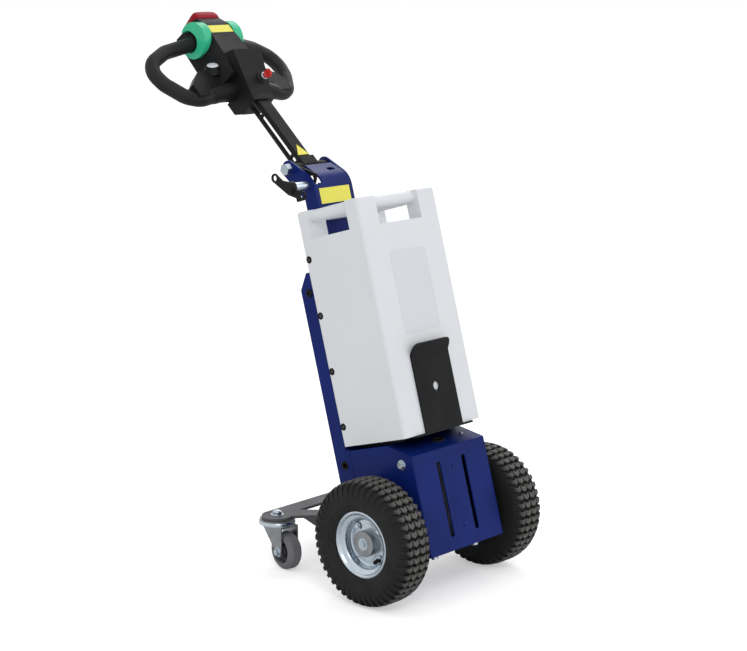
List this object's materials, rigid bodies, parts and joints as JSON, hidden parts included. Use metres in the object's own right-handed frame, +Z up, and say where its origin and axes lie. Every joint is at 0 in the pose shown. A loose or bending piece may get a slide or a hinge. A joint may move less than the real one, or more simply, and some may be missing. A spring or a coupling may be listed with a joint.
{
  "type": "electric roll cage pusher",
  "caption": "Walk-behind electric pusher: leaning box chassis on lugged drive wheels, lift-out battery case, rear swivel casters and a tilting tiller with loop grips.",
  "frame": {"origin": "on the floor, at the middle of the machine's outer box", "axes": "+Z up, -Y towards the push face, +Y towards the tiller, +X to the driver's right when facing the push face"},
  "size_m": [0.4398, 0.8352, 1.1592],
  "materials": {
    "blue_paint": "smooth gloss powder coat",
    "black_paint": "satin powder coat",
    "case_plastic": "light moulded case",
    "zinc": "bright zinc plate",
    "drive_alloy": "cast housing",
    "tyre_rubber": "block tread",
    "black_plastic": "fine grain moulding",
    "grip_foam": "soft grip",
    "green_plastic": "moulded",
    "red_plastic": "moulded",
    "caster_rubber": "grey tread",
    "white_plastic": "moulded"
  },
  "bodies": {
    "chassis": {"front_cover": "blue_paint", "side_panel_left": "blue_paint", "side_panel_right": "blue_paint", "back_web": "blue_paint", "back_flange_left": "blue_paint", "back_flange_right": "blue_paint", "base_plate": "blue_paint", "drive_unit": "drive_alloy", "axle_bearings": "black_paint", "battery_tray": "black_paint", "battery_case": "case_plastic", "column": "blue_paint", "pivot_bolt": "zinc", "index_sleeve": "zinc", "wing_lever": "black_plastic", "caster_carrier": "black_paint", "caster_kings": "zinc"},
    "tiller": {"tiller_bracket": "black_paint", "tiller_tube": "black_paint", "tiller_conduit": "black_plastic", "key_box": "black_plastic", "loop_grips": "grip_foam", "thumb_paddles": "green_plastic", "head_body": "black_plastic", "belly_button": "red_plastic", "key_switch": "black_plastic", "key": "red_plastic", "head_socket": "black_plastic", "side_button": "white_plastic"},
    "wheel_left": {"tyre_left": "tyre_rubber", "rim_left": "zinc", "axle_shaft_left": "zinc"},
    "wheel_right": {"tyre_right": "tyre_rubber", "rim_right": "zinc", "axle_shaft_right": "zinc"},
    "caster_left": {"caster_fork_left": "zinc", "caster_axle_left": "zinc"},
    "caster_wheel_left": {"caster_tread_left": "caster_rubber", "caster_hub_left": "black_plastic"},
    "caster_right": {"caster_fork_right": "zinc", "caster_axle_right": "zinc"},
    "caster_wheel_right": {"caster_tread_right": "caster_rubber", "caster_hub_right": "black_plastic"}
  },
  "joints": [
    {"name": "tiller_tilt", "type": "hinge", "parent": "chassis", "child": "tiller", "pos_m": [0, 0.05676, 0.84007], "axis": [1, 0, 0], "range_deg": [-34, 17]},
    {"name": "wheel_left_spin", "type": "hinge", "parent": "chassis", "child": "wheel_left", "pos_m": [-0.1774, -0.28759, 0.13], "axis": [1, 0, 0], "continuous": true},
    {"name": "wheel_right_spin", "type": "hinge", "parent": "chassis", "child": "wheel_right", "pos_m": [0.1774, -0.28759, 0.13], "axis": [1, 0, 0], "continuous": true},
    {"name": "caster_left_swivel", "type": "hinge", "parent": "chassis", "child": "caster_left", "pos_m": [-0.134, 0.02642, 0.1], "axis": [0, 0, 1], "continuous": true},
    {"name": "caster_left_spin", "type": "hinge", "parent": "caster_left", "child": "caster_wheel_left", "pos_m": [-0.1399, -0.00707, 0.04], "axis": [0.9848, -0.1736, 0], "continuous": true},
    {"name": "caster_right_swivel", "type": "hinge", "parent": "chassis", "child": "caster_right", "pos_m": [0.134, 0.02642, 0.1], "axis": [0, 0, 1], "continuous": true},
    {"name": "caster_right_spin", "type": "hinge", "parent": "caster_right", "child": "caster_wheel_right", "pos_m": [0.1281, -0.00707, 0.04], "axis": [0.9848, -0.1736, 0], "continuous": true}
  ]
}
